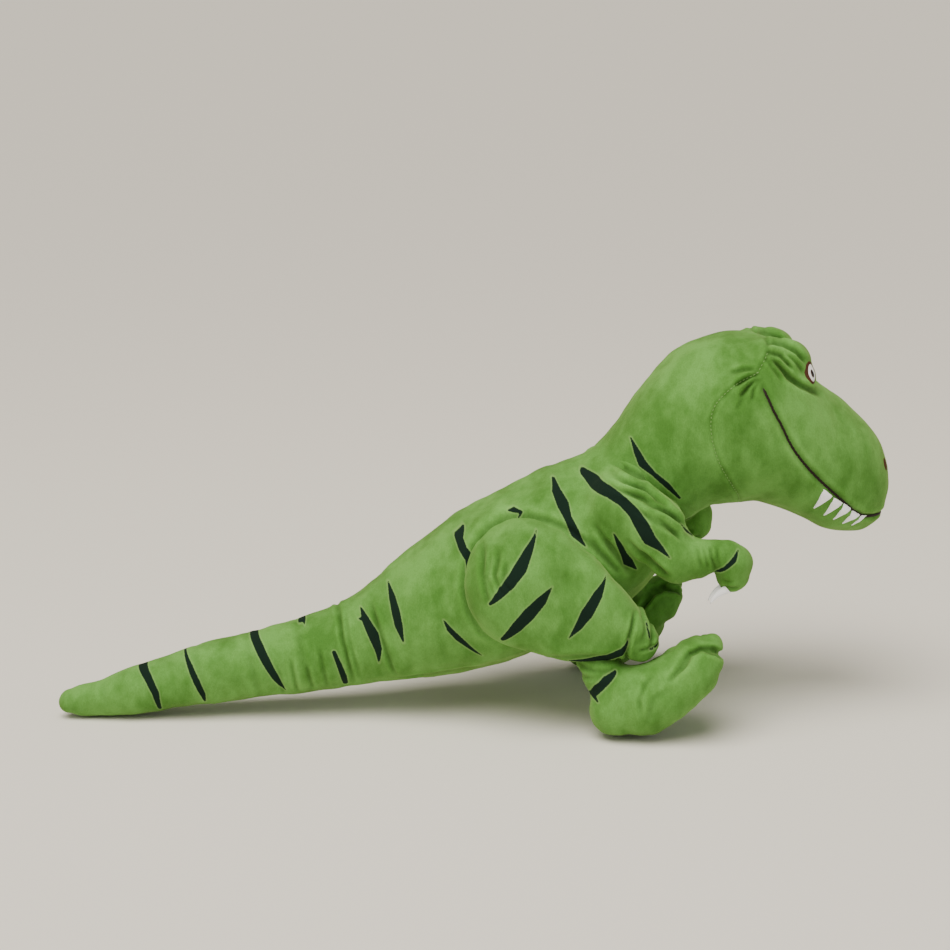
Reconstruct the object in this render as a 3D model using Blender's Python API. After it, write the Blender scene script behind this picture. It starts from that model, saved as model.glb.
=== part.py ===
"""Stuffed dinosaur lying on its belly: sewn plush panels over separate fillings.

Metres, +Z up. The nose points along +X, the tail along -X, and the toy's left side is +Y.
The origin is under the middle of the toy's box, on the surface that it lies on.
Cloth is a thin shell and each stuffed part holds its own filling, a little clear of the cloth.
Where the stuffing lets the toy bend, one part ends in a dome and the next starts in a socket.
"""
import math

import bpy
import bmesh
from mathutils import Vector

MM = 0.001
CLOTH = 1.2 * MM            # thickness of the plush with its backing
CLEAR = 0.4 * MM            # room between neighbouring pieces
FACET = 1.0 * MM            # how far the flats of a coarse round panel cut inside its true curve
LINING = CLOTH + CLEAR + FACET   # depth of a filling's surface under the outside of the cloth
SEAM = 0.0045               # half the angle left open along a seam between two panels, in radians
TIP_INSET, TIP_INSIDE = 0.65, 0.45   # stations where a filling and the cloth's inside end at a tip
PROUD = 1.1 * MM            # lift of a stitched or glued piece over the true curve of its panel
EDGE = 0.7 * MM             # thickness of such a piece at its edge
RIGHT, LEFT = -1, 1

# Back line, tail tip to neck: x, z of the middle, half height across the line, half width (mm).
SPINE = [
    (-453.7, 18.5, 3.2, 3.2), (-447, 18, 11, 11), (-430, 18.6, 17, 17), (-405, 21.4, 21, 21),
    (-375, 27.5, 26, 26), (-340, 34.5, 28.5, 28.5), (-295, 45, 33, 33), (-250, 52.5, 36, 36),
    (-205, 60, 39.5, 39.5), (-165, 67.5, 43, 43), (-129, 77, 48, 48), (-85, 92, 60, 62),
    (-38, 113, 74, 76), (10, 135, 85, 88), (58, 160, 86, 91), (100, 181, 86, 91),
    (130, 200, 84, 86), (152, 220, 76, 80), (173, 243, 62, 70),
]
TAIL_TIP_JOINT, TAIL_MID_JOINT, TAIL_BASE_JOINT, NECK_END = 4, 7, 10, 18
BELLY_HALF = math.radians(40)   # the belly panel reaches this far either side of the underside

NECK = Vector((186, 0, 258)) * MM
NECK_RADIUS = 58 * MM
NECK_LEAN = math.radians(50)    # the neck leaves the body this far above level
NECK_RIM = math.radians(70)     # half angle of the sockets that hold the neck's ball
NECK_AXIS = Vector((math.cos(NECK_LEAN), 0, math.sin(NECK_LEAN)))
NECK_UP = Vector((-math.sin(NECK_LEAN), 0, math.cos(NECK_LEAN)))

# Head, nape to nose, after the neck's rim: top x, z, bottom x, z and half width (mm).
HEAD_RIM = (60, 66)
HEAD = [
    (185, 357, 250, 229, 72), (223, 396, 262, 228, 80), (262, 411, 278, 228, 85),
    (300, 415, 300, 229, 86), (332, 404, 330, 222, 85), (358, 374, 356, 209, 79),
    (390, 343, 385, 195, 70), (420, 321, 412, 190, 61), (440, 298, 432, 193, 49),
    (450, 271, 446, 207, 32), (453.7, 243, 453.7, 235, 5),
]
CHEEK = 4                       # head station of the seam between the head and the muzzle
NOSE = 11
# Height of the mouth on each station from the cheek seam to the nose, -1 at the chin, 1 on top.
MOUTH = [0.59, -0.13, -0.29, -0.38, -0.50, -0.54, -0.62, -0.7]
TEETH = 5

# Arm and hand: x, z, heading above level in degrees, distance from the middle plane, half
# height and half width (mm).
ARM = [
    (140, 262, -48, 104, 5, 5), (147, 255, -48, 104, 23, 14), (163, 237, -50, 107, 34, 19),
    (184, 211, -48, 109, 30, 21), (206, 191, -28, 110, 23, 20), (230, 188, 0, 110, 18.5, 18),
    (250, 190, -10, 110, 16, 16),
]
HAND = [(258.8, 188.4, -10, 110, 16.5, 16.5), (266, 181.5, -32, 110, 17.5, 16),
        (270, 171, -66, 109, 16, 15), (268, 160, -95, 108, 10, 10), (266.5, 155, -105, 108, 3, 3)]
ARM_FACE = 88 * MM              # inner face of the arm, just outside the body's side
WRIST = 6
CLAW_ROOT, CLAW_TIP, CLAW_RADIUS = (254.5, 152), (242, 143), 3.6 * MM
CLAW_PLACES = (102, 115)

# Leg: two rounds span the haunch; the ankle's round carries the foot.
HIP, HIP_RADIUS, HIP_DEPTH = Vector((59, 161)) * MM, 81 * MM, 37 * MM
KNEE, KNEE_RADIUS, KNEE_DEPTH = Vector((162, 112)) * MM, 29 * MM, 30 * MM
HAUNCH_FACE = 93.5 * MM         # inner face of the haunch, just outside the body's side
# Shank: z, rear x, front x (mm); it caps the ankle's round.
SHANK = [(46, 110.5, 113.5), (52, 106.5, 114), (58, 102.5, 115.3), (64, 98.5, 118.3),
         (70, 94.5, 123.5), (76, 91, 134), (79.6, 89.5, 158)]
SHANK_MIDDLE, SHANK_HALF = 112 * MM, 15 * MM
# Foot, heel to toes: x, top z, bottom z, half width (mm); the sole is cut flat on the ground.
FOOT = [
    (116.5, 50, 44, 3), (120, 61.5, 24, 14), (130, 71.4, 6, 21), (143, 74.8, -4, 25),
    (157, 70.8, -6, 26.5), (168, 58.5, -6, 27), (180, 67, -6, 27.5), (197, 83, -4, 28),
    (214, 96, 2, 28), (230, 106, 20, 27.5), (244, 110.5, 46, 25), (255, 109, 76, 18),
    (262, 101, 93, 4),
]
FOOT_MIDDLE = 121.5 * MM
SOLE = (2.0, 9.0)               # foot stations that the sole panel spans
SOLE_HALF = math.radians(52)


def turn(degrees):
    return math.radians(degrees)


def steps(first, last, count):
    """Evenly spaced values, both ends included."""
    return [first + (last - first) * k / (count - 1) for k in range(count)]


def around(count):
    """Angles of the columns round a closed section."""
    return [2 * math.pi * k / count for k in range(count)]


def between(values, place):
    """Value at a fractional place in a list, on a Catmull-Rom curve through its entries."""
    last = len(values) - 1
    i = min(max(int(place), 0), last - 1)
    f = place - i
    a, b, c, d = (values[min(max(k, 0), last)] for k in (i - 1, i, i + 1, i + 2))
    square = (a * 2 - b * 5 + c * 4 - d) * f ** 2
    cube = (b * 3 - a - c * 3 + d) * f ** 3
    return (b * 2 + (c - a) * f + square + cube) * 0.5


def gap(radius):
    """Room between a dome and its socket, more on a large one because its facets are larger."""
    return 0.4 * MM + 0.02 * radius


class Loft:
    """A surface through elliptical sections, read at any station and angle.

    A section is its middle, a vector to its top and a vector to its +Y side. Angle 0 is the
    +Y side and a quarter turn is the top. cut keeps points outside a flat face.
    """

    def __init__(self, sections, cut=None):
        self.middles, self.tops, self.sides = zip(*sections)
        self.cut = cut

    def middle(self, u):
        return between(self.middles, u)

    def raw(self, u, angle):
        rise = between(self.tops, u) * math.sin(angle)
        return self.middle(u) + rise + between(self.sides, u) * math.cos(angle)

    def point(self, u, angle, lift=0.0):
        """Surface point, moved out along the normal by lift, or in where lift is negative."""
        here = self.raw(u, angle)
        along = self.raw(u + 0.02, angle) - self.raw(u - 0.02, angle)
        across = self.raw(u, angle + 0.02) - self.raw(u, angle - 0.02)
        normal = along.cross(across).normalized()
        if normal.dot(here - self.middle(u)) < 0:
            normal.negate()
        here = here + normal * lift
        return self.cut(here, lift) if self.cut else here

    def ring(self, u, angles, lift=0.0):
        return [self.point(u, angle, lift) for angle in angles]

    def frame(self, u):
        """Middle, unit direction along the loft, unit up and unit side at a station."""
        along = (self.middle(u + 0.02) - self.middle(u - 0.02)).normalized()
        side = between(self.sides, u).normalized()
        up = between(self.tops, u).normalized()
        return self.middle(u), along, up, side

    def station_at(self, start, distance, direction):
        """Station at a distance from another one, going up (1) or down (-1) the list."""
        u = start
        while (self.middle(u) - self.middle(start)).length < distance:
            u += 0.005 * direction
        return u


def round_rows(middle, axis, up, side, radius, polar, angles):
    """Rings on a sphere, at polar angles measured from axis."""
    rows = []
    for theta in polar:
        centre = middle + axis * radius * math.cos(theta)
        reach = radius * math.sin(theta)
        rows.append([centre + (up * math.sin(a) + side * math.cos(a)) * reach for a in angles])
    return rows


def material(name, colour, roughness):
    """One plain finish per sub-part: sRGB colour, roughness."""
    made = bpy.data.materials.new(name)
    made.use_nodes = True
    shader = made.node_tree.nodes["Principled BSDF"]
    linear = [(c / 12.92) if c <= 0.04045 else ((c + 0.055) / 1.055) ** 2.4 for c in colour]
    shader.inputs["Base Color"].default_value = (*linear, 1.0)
    shader.inputs["Roughness"].default_value = roughness
    made.diffuse_color = (*linear, 1.0)
    return made


FINISHES = {
    "plush": ((0.40, 0.58, 0.27), 0.95),
    "belly": ((0.50, 0.64, 0.34), 0.95),
    "filling": ((0.93, 0.92, 0.89), 1.0),
    "felt": ((0.95, 0.94, 0.93), 0.9),
    "thread": ((0.30, 0.17, 0.11), 0.7),
    "eye": ((0.93, 0.93, 0.92), 0.25),
}


def solid(name, finish, points, faces):
    """One closed body as an object, faces outwards, with its own material."""
    mesh = bpy.data.meshes.new(name)
    mesh.from_pydata(points, [], faces)
    bm = bmesh.new()
    bm.from_mesh(mesh)
    bmesh.ops.recalc_face_normals(bm, faces=bm.faces)
    bmesh.ops.triangulate(bm, faces=bm.faces)
    bm.to_mesh(mesh)
    bm.free()
    mesh.shade_smooth()
    mesh.set_sharp_from_angle(angle=turn(40))
    mesh.materials.append(material(name, *FINISHES[finish]))
    made = bpy.data.objects.new(name, mesh)
    bpy.context.scene.collection.objects.link(made)
    return made


def quads(rows, columns, offset, closed):
    """Faces of a grid of points, rows by columns."""
    last = columns if closed else columns - 1
    faces = []
    for i in range(rows - 1):
        for j in range(last):
            k = (j + 1) % columns
            a, b = offset + i * columns, offset + (i + 1) * columns
            faces.append((a + j, a + k, b + k, b + j))
    return faces


def plug(name, finish, rows, first_pole, last_pole):
    """A filled body through rings of points, closed by a fan to a pole at each end."""
    columns = len(rows[0])
    points = [p for row in rows for p in row] + [first_pole, last_pole]
    faces = quads(len(rows), columns, 0, True)
    first, last = len(points) - 2, len(points) - 1
    end = (len(rows) - 1) * columns
    for j in range(columns):
        k = (j + 1) % columns
        faces.append((first, k, j))
        faces.append((last, end + j, end + k))
    return solid(name, finish, points, faces)


def shell(name, finish, outer, inner, closed=True, tip=False):
    """A sheet between two grids of points. closed wraps it round; tip closes its last row."""
    rows, columns = len(outer), len(outer[0])
    points = [p for row in outer for p in row] + [p for row in inner for p in row]
    count = rows * columns
    faces = quads(rows, columns, 0, closed) + quads(rows, columns, count, closed)
    end = (rows - 1) * columns
    last = columns if closed else columns - 1
    for j in range(last):
        k = (j + 1) % columns
        faces.append((j, k, count + k, count + j))
        if not tip:
            faces.append((end + j, end + k, count + end + k, count + end + j))
    if not closed:
        for i in range(rows - 1):
            for edge in (0, columns - 1):
                a, b = i * columns + edge, (i + 1) * columns + edge
                faces.append((a, b, count + b, count + a))
    if tip:
        for start, row in ((0, outer[-1]), (count, inner[-1])):
            points.append(sum(row, Vector()) / columns)
            pole = len(points) - 1
            for j in range(columns):
                faces.append((pole, start + end + j, start + end + (j + 1) % columns))
    return solid(name, finish, points, faces)


def panel(name, finish, loft, stations, low, high, columns):
    """A sewn panel: the part of a loft's skin between two angles, which may vary by station."""
    grids = []
    for lift in (0.0, -CLOTH):
        grids.append([[loft.point(u, a, lift) for a in steps(low(u), high(u), columns)] for u in stations])
    return shell(name, finish, grids[0], grids[1], closed=False)


def patch(name, finish, loft, place, reach, height, columns=12, rings=4):
    """A low round piece lying on a loft, its middle at place (station, angle)."""
    top, foot = [], []
    for r in steps(1.0, 0.12, rings):
        spots = [(place[0] + reach[0] * r * math.cos(t), place[1] + reach[1] * r * math.sin(t))
                 for t in around(columns)]
        rise = PROUD + EDGE + height * math.sqrt(max(1 - r * r, 0.0))
        top.append([loft.point(u, a, rise) for u, a in spots])
        foot.append([loft.point(u, a, PROUD) for u, a in spots])
    rows = list(reversed(foot)) + top
    low_pole = loft.point(*place, PROUD)
    high_pole = loft.point(*place, PROUD + EDGE + height)
    return plug(name, finish, rows, low_pole, high_pole)


def side_name(name, side):
    return f"{name}_{'right' if side == RIGHT else 'left'}"


def socket_radius(radius):
    return radius - LINING + gap(radius)


def spine_loft():
    """The loft along the back line, with every section square to it."""
    middles = [Vector((x, 0, z)) * MM for x, z, _, _ in SPINE]
    sections = []
    for i, (_, _, high, wide) in enumerate(SPINE):
        along = (middles[min(i + 1, len(SPINE) - 1)] - middles[max(i - 1, 0)]).normalized()
        if i == NECK_END:
            along = NECK_AXIS
        up = Vector((-along.z, 0, along.x))
        sections.append((middles[i], up * high * MM, Vector((0, wide * MM, 0))))
    return Loft(sections)


def tail_segment(name, spine, parent_joint, end_joint, sway, columns):
    """One tail part: a socket round the parent's dome, and a dome for the next, or the tip."""
    angles = around(columns)
    middle, along, up, side = spine.frame(parent_joint)
    held = socket_radius(between(spine.tops, parent_joint).length)
    rim = turn(sway)
    start = spine.station_at(parent_joint, held * math.sin(rim), -1)
    is_tip = end_joint == 0
    stations = [start] + [s for s in range(int(start), end_joint - 1, -1) if s < start - 0.25]
    if is_tip:
        stations[-1] = TIP_INSET
    outer = [spine.ring(u, angles) for u in stations]
    inner = [spine.ring(u, angles, -CLOTH) for u in stations]
    if is_tip:
        outer.append(spine.ring(0, angles))
        inner.append(spine.ring(TIP_INSIDE, angles, -CLOTH))
    shell(f"{name}_skin", "plush", outer, inner, tip=is_tip)
    socket = round_rows(middle, -along, up, side, held, steps(turn(20), math.pi / 2 - rim, 3), angles)
    body = [spine.ring(u, angles, -LINING) for u in stations]
    if is_tip:
        last_pole = sum(body[-1], Vector()) / columns
        rows = socket + body
    else:
        end, along_end, up_end, side_end = spine.frame(end_joint)
        ball = between(spine.tops, end_joint).length - LINING
        polar = steps(turn(68), turn(22), 3)
        rows = socket + body + round_rows(end, -along_end, up_end, side_end, ball, polar, angles)
        last_pole = end - along_end * ball
    plug(f"{name}_filling", "filling", rows, middle - along * held, last_pole)


def torso(spine):
    """Two side panels and a belly panel over one filling, from the tail's root to the neck."""
    stations = list(range(TAIL_BASE_JOINT, NECK_END + 1))
    under = turn(270)
    panel("side_panel_right", "plush", spine, stations,
          lambda u: turn(90) + SEAM, lambda u: under - BELLY_HALF - SEAM, 11)
    panel("side_panel_left", "plush", spine, stations,
          lambda u: under - turn(360) + BELLY_HALF + SEAM, lambda u: turn(90) - SEAM, 11)
    panel("belly_panel", "belly", spine, stations,
          lambda u: under - BELLY_HALF + SEAM, lambda u: under + BELLY_HALF - SEAM, 8)
    angles = around(24)
    middle, along, up, side = spine.frame(TAIL_BASE_JOINT)
    ball = between(spine.tops, TAIL_BASE_JOINT).length - LINING
    rows = round_rows(middle, -along, up, side, ball, steps(turn(20), turn(68), 3), angles)
    rows += [spine.ring(u, angles, -LINING) for u in stations]
    held = NECK_RADIUS + gap(NECK_RADIUS)
    rim = steps(NECK_RIM, turn(18), 4)
    rows += round_rows(NECK, -NECK_AXIS, NECK_UP, Vector((0, 1, 0)), held, rim, angles)
    plug("torso_filling", "filling", rows, middle - along * ball, NECK - NECK_AXIS * held)


def neck():
    """A stuffed ball between the body and the head; its cloth is a band open at both ends."""
    frame = (NECK, NECK_AXIS, NECK_UP, Vector((0, 1, 0)))
    angles = around(24)
    band = steps(turn(42), turn(138), 6)
    shell("neck_skin", "plush", round_rows(*frame, NECK_RADIUS, band, angles),
          round_rows(*frame, NECK_RADIUS - CLOTH, band, angles))
    core = NECK_RADIUS - LINING - CLEAR
    plug("neck_filling", "filling", round_rows(*frame, core, steps(turn(18), turn(162), 7), angles),
         NECK + NECK_AXIS * core, NECK - NECK_AXIS * core)


def head_loft():
    rim_middle = NECK + NECK_AXIS * (NECK_RADIUS + gap(NECK_RADIUS)) * math.cos(NECK_RIM)
    sections = [(rim_middle, NECK_UP * HEAD_RIM[0] * MM, Vector((0, HEAD_RIM[1] * MM, 0)))]
    for top_x, top_z, low_x, low_z, wide in HEAD:
        top, low = Vector((top_x, 0, top_z)) * MM, Vector((low_x, 0, low_z)) * MM
        sections.append(((top + low) / 2, (top - low) / 2, Vector((0, wide * MM, 0))))
    return Loft(sections)


def mouth_angle(u, side):
    """Angle of the mouth on a head station, on the right or the left side."""
    rise = math.asin(between(MOUTH, u - CHEEK))
    return math.pi - rise if side == RIGHT else rise


def head(loft):
    """Two head panels behind the cheeks, a muzzle panel above the mouth and a jaw panel below."""
    rear = [0, 0.5, 1, 2, 3, CHEEK - 0.01]
    middle = [CHEEK + 0.33, CHEEK + 0.67] + list(range(CHEEK + 1, NOSE))
    front = [CHEEK + 0.01] + middle + [NOSE - 0.45, NOSE]
    panel("head_panel_right", "plush", loft, rear, lambda u: turn(90) + SEAM, lambda u: turn(270) - SEAM, 13)
    panel("head_panel_left", "plush", loft, rear, lambda u: turn(-90) + SEAM, lambda u: turn(90) - SEAM, 13)
    panel("muzzle_panel", "plush", loft, front,
          lambda u: mouth_angle(u, LEFT) + SEAM, lambda u: mouth_angle(u, RIGHT) - SEAM, 17)
    panel("jaw_panel", "plush", loft, front,
          lambda u: mouth_angle(u, RIGHT) + SEAM, lambda u: turn(360) + mouth_angle(u, LEFT) - SEAM, 17)
    angles = around(24)
    held = NECK_RADIUS + gap(NECK_RADIUS)
    rows = round_rows(NECK, NECK_AXIS, NECK_UP, Vector((0, 1, 0)), held, steps(turn(18), NECK_RIM, 4), angles)
    rows += [loft.ring(u, angles, -LINING) for u in rear[:-1] + [CHEEK] + middle + [NOSE - 0.45]]
    plug("head_filling", "filling", rows, NECK + NECK_AXIS * held, sum(rows[-1], Vector()) / len(angles))


def face(loft, side):
    """Brow, eye, mouth line and teeth on one side of the head."""
    out = math.pi - turn(62) if side == RIGHT else turn(62)
    patch(side_name("brow", side), "plush", loft, (4.5, out), (0.82, 0.33), 19 * MM)
    eye = math.pi - turn(54) if side == RIGHT else turn(54)
    patch(side_name("eye", side), "eye", loft, (5.72, eye), (0.3, 0.125), 3.5 * MM, rings=3)
    line = steps(CHEEK + 0.1, NOSE - 0.5, 20)
    top = [[loft.point(u, mouth_angle(u, side) + a, PROUD + EDGE) for a in (-0.014, 0.014)] for u in line]
    low = [[loft.point(u, mouth_angle(u, side) + a, PROUD) for a in (-0.014, 0.014)] for u in line]
    shell(side_name("mouth_line", side), "thread", top, low, closed=False)
    for k in range(TEETH):
        first = 7.62 + 0.44 * k
        spots = [(first, 0.0), (first + 0.36, 0.0), (first - 0.30, 0.33 + 0.02 * k)]
        points = []
        for lift in (2.3 * MM, 3.8 * MM):
            for u, drop in spots:
                angle = mouth_angle(u, side) + (drop if side == RIGHT else -drop)
                points.append(loft.point(u, angle, lift + drop * 4 * MM))
        faces = [(0, 1, 2), (3, 4, 5), (0, 1, 4, 3), (1, 2, 5, 4), (2, 0, 3, 5)]
        solid(f"tooth_{side_name(str(k + 1), side)}", "felt", points, faces)


def limb_loft(rows, side, cut):
    """A loft along a limb's side view, on the right or the left."""
    sections = []
    for x, z, heading, y, high, wide in rows:
        up = Vector((-math.sin(turn(heading)), 0, math.cos(turn(heading))))
        sections.append((Vector((x, side * y, z)) * MM, up * high * MM, Vector((0, wide * MM, 0))))
    return Loft(sections, cut)


def arm(side):
    """An upper arm with a flat face against the body, a hand on the wrist's dome and two claws."""
    def outside(point, lift):
        point.y = side * max(side * point.y, ARM_FACE - lift)
        return point

    angles = around(14)
    upper = limb_loft(ARM, side, outside)
    stations = list(range(WRIST, 0, -1)) + [TIP_INSET]
    shell(side_name("arm_skin", side), "plush", [upper.ring(u, angles) for u in stations + [0]],
          [upper.ring(u, angles, -CLOTH) for u in stations + [TIP_INSIDE]], tip=True)
    wrist, _, up, across = upper.frame(WRIST)
    along = across.cross(up)
    ball = between(upper.tops, WRIST).length - LINING
    rows = round_rows(wrist, along, up, across, ball, steps(turn(20), turn(70), 3), angles)
    rows += [upper.ring(u, angles, -LINING) for u in stations]
    inner = sum(rows[-1], Vector()) / len(angles)
    plug(side_name("arm_filling", side), "filling", rows, wrist + along * ball, inner)

    hand = limb_loft(HAND, side, None)
    held = socket_radius(between(upper.tops, WRIST).length)
    shell(side_name("hand_skin", side), "plush", [hand.ring(u, angles) for u in range(5)],
          [hand.ring(u, angles, -CLOTH) for u in (0, 1, 2, 3, 4 - TIP_INSIDE)], tip=True)
    rows = round_rows(wrist, along, up, across, held, steps(turn(22), turn(56), 3), angles)
    rows += [hand.ring(u, angles, -LINING) for u in (0, 1, 2, 3)]
    inner = sum(rows[-1], Vector()) / len(angles)
    plug(side_name("hand_filling", side), "filling", rows, wrist + along * held, inner)
    for name, place in zip(("inner", "outer"), CLAW_PLACES):
        root = Vector((CLAW_ROOT[0], side * place, CLAW_ROOT[1])) * MM
        tip = Vector((CLAW_TIP[0], side * place, CLAW_TIP[1])) * MM
        axis = (tip - root).normalized()
        across = Vector((0, 1, 0))
        up = axis.cross(across)
        rows = []
        for f, size in ((0.0, 0.9), (0.2, 1.0), (0.6, 0.62), (0.9, 0.2)):
            rows.append([root.lerp(tip, f) + (up * math.sin(a) + across * math.cos(a)) * CLAW_RADIUS * size
                         for a in around(8)])
        plug(side_name(f"claw_{name}", side), "felt", rows, root, tip)


class Haunch:
    """A domed cushion over two rounds in the side view, flat towards the body."""

    def __init__(self, side):
        self.side = side

    def point(self, rise, angle, lift):
        way = Vector((math.cos(angle), math.sin(angle)))
        near_hip = HIP.dot(way) + HIP_RADIUS >= KNEE.dot(way) + KNEE_RADIUS
        centre, radius, depth = (HIP, HIP_RADIUS, HIP_DEPTH) if near_hip else (KNEE, KNEE_RADIUS, KNEE_DEPTH)
        flat = centre + way * (radius + lift) * math.cos(rise)
        out = HAUNCH_FACE + (depth + lift) * math.sin(rise)
        return Vector((flat.x, self.side * out, flat.y))

    def rows(self, rises, angles, lift):
        return [[self.point(rise, angle, lift) for angle in angles] for rise in rises]


def leg(side):
    """A haunch against the body, the shank under it and a foot with its sole on the ankle."""
    haunch = Haunch(side)
    angles = around(28)
    rises = [turn(d) for d in (0, 20, 42, 64, 82)]
    shell(side_name("thigh_skin", side), "plush", haunch.rows(rises, angles, 0.0),
          haunch.rows(rises, angles, -CLOTH), tip=True)
    rows = haunch.rows(rises, angles, -LINING)
    first = sum(rows[0], Vector()) / len(angles)
    plug(side_name("thigh_filling", side), "filling", rows, first, sum(rows[-1], Vector()) / len(angles))

    sections = []
    for z, rear, front in SHANK:
        middle = Vector(((rear + front) / 2, side * SHANK_MIDDLE / MM, z)) * MM
        sections.append((middle, Vector(((front - rear) / 2, 0, 0)) * MM, Vector((0, SHANK_HALF, 0))))
    shank = Loft(sections)
    ring = around(12)
    levels = list(range(len(SHANK)))
    shell(side_name("shank_skin", side), "plush", [shank.ring(u, ring) for u in levels[1:]],
          [[shank.middle(u) + (shank.raw(u, a) - shank.middle(u)) * 0.78 for a in ring] for u in levels[1:]])
    rows = [[shank.middle(u) + (shank.raw(u, a) - shank.middle(u)) * 0.70 for a in ring] for u in levels[2:]]
    plug(side_name("shank_filling", side), "filling", rows, shank.middle(2), shank.middle(levels[-1]))

    def grounded(point, lift):
        point.z = max(point.z, -lift)
        return point

    sections = []
    for x, top, low, wide in FOOT:
        middle = Vector((x, side * FOOT_MIDDLE / MM, (top + low) / 2)) * MM
        sections.append((middle, Vector((0, 0, (top - low) / 2 * MM)), Vector((0, wide * MM, 0))))
    foot = Loft(sections, grounded)
    last = len(FOOT) - 1

    def sole_half(u):
        """Half angle of the sole: full along the middle, narrow at the heel and under the toes."""
        middle, half = (SOLE[0] + SOLE[1]) / 2, (SOLE[1] - SOLE[0]) / 2
        return SOLE_HALF * math.sqrt(max(1 - (abs(u - middle) / (half + 0.4)) ** 2, 0.0025))

    panel(side_name("foot_skin", side), "plush", foot, range(last + 1),
          lambda u: turn(-90) + sole_half(u) + SEAM, lambda u: turn(270) - sole_half(u) - SEAM, 16)
    panel(side_name("foot_sole", side), "belly", foot, steps(SOLE[0], SOLE[1], 8),
          lambda u: turn(270) - sole_half(u) + SEAM, lambda u: turn(270) + sole_half(u) - SEAM, 9)
    angles = around(14)
    rows = [foot.ring(u, angles, -LINING) for u in [0.6] + list(range(1, last)) + [last - 0.5]]
    plug(side_name("foot_filling", side), "filling", rows, foot.middle(0.5), foot.middle(last - 0.4))


for old in list(bpy.data.objects):
    bpy.data.objects.remove(old)

back = spine_loft()
torso(back)
tail_segment("tail_base", back, TAIL_BASE_JOINT, TAIL_MID_JOINT, 25, 20)
tail_segment("tail_mid", back, TAIL_MID_JOINT, TAIL_TIP_JOINT, 25, 18)
tail_segment("tail_tip", back, TAIL_TIP_JOINT, 0, 25, 16)
neck()
skull = head_loft()
head(skull)
for flank in (RIGHT, LEFT):
    face(skull, flank)
    arm(flank)
    leg(flank)
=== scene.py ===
import math

import bpy
import numpy as np
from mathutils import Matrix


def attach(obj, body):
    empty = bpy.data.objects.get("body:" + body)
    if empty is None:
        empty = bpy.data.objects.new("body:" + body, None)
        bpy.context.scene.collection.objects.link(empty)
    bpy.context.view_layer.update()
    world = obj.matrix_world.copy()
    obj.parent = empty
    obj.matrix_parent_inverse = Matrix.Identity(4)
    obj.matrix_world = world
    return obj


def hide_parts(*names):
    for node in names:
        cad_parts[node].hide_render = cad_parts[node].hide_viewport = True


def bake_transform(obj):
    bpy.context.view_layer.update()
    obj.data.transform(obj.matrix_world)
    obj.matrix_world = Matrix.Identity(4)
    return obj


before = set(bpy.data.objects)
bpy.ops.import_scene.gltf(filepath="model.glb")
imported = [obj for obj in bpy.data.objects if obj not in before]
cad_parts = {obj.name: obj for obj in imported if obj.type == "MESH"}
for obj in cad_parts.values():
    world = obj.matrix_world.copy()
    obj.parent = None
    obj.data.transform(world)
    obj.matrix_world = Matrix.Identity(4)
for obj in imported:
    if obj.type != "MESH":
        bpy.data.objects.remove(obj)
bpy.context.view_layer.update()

import openvdb
from mathutils import Vector
from mathutils.bvhtree import BVHTree

# --- Table top, light and camera -------------------------------------------------------
# A plain pale floor under soft studio light. The camera looks down a little at the toy's
# right side, from slightly nearer its tail than its head.


def srgb(code):
    """An sRGB hex colour as linear red, green, blue and alpha."""
    channels = [int(code[i:i + 2], 16) / 255 for i in (1, 3, 5)]
    return [c / 12.92 if c <= 0.04045 else ((c + 0.055) / 1.055) ** 2.4 for c in channels] + [1.0]


def node(tree, kind, links=(), **settings):
    """Adds a node with its settings; links are (input, output socket) pairs, or plain values."""
    made = tree.nodes.new(kind)
    for name, value in settings.items():
        setattr(made, name, value)
    for name, source in links:
        if isinstance(source, bpy.types.NodeSocket):
            tree.links.new(source, made.inputs[name])
        else:
            made.inputs[name].default_value = source
    return made


def principled(name, base, roughness, **inputs):
    """A new material, its tree and its Principled shader."""
    made = bpy.data.materials.new(name)
    made.use_nodes = True
    shader = made.node_tree.nodes["Principled BSDF"]
    shader.inputs["Base Color"].default_value = srgb(base)
    shader.inputs["Roughness"].default_value = roughness
    for key, value in inputs.items():
        shader.inputs[key.replace("_", " ")].default_value = value
    return made, made.node_tree, shader


# Matt painted board: pale, without gloss, so it only catches the toy's shadow.
board, _, _ = principled("matt_board", "#e8e3d9", 0.95, Specular_IOR_Level=0.1)
bpy.ops.mesh.primitive_plane_add(size=240)
floor = bpy.context.object
floor.name = "floor"
floor.data.materials.append(board)

AZIMUTH = math.radians(-5)
ELEVATION = math.radians(13)
DISTANCE = 2.4
LOOK_AT = Vector((0.0, 0.0, 0.262))
back = Vector((math.sin(AZIMUTH) * math.cos(ELEVATION),
               -math.cos(AZIMUTH) * math.cos(ELEVATION),
               math.sin(ELEVATION)))
camera = bpy.data.objects.new("camera", bpy.data.cameras.new("camera"))
bpy.context.scene.collection.objects.link(camera)
camera.location = LOOK_AT + back * DISTANCE
camera.rotation_euler = (-back).to_track_quat("-Z", "Y").to_euler()
camera.data.lens = 84
camera.data.sensor_width = 36
bpy.context.scene.camera = camera


def softbox(name, place, size, watts, colour):
    """A square studio light that faces the middle of the toy."""
    light = bpy.data.lights.new(name, "AREA")
    light.size = size
    light.energy = watts
    light.color = srgb(colour)[:3]
    made = bpy.data.objects.new(name, light)
    bpy.context.scene.collection.objects.link(made)
    made.location = place
    made.rotation_euler = (Vector(place) - Vector((0, 0, 0.2))).to_track_quat("Z", "Y").to_euler()


softbox("ceiling", (-0.3, -0.5, 2.5), 1.7, 26, "#fffaf0")
softbox("window", (-1.9, -1.9, 1.5), 1.0, 10, "#fff6e8")
softbox("fill", (1.9, -1.7, 0.9), 1.4, 8, "#eef4ff")

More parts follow.
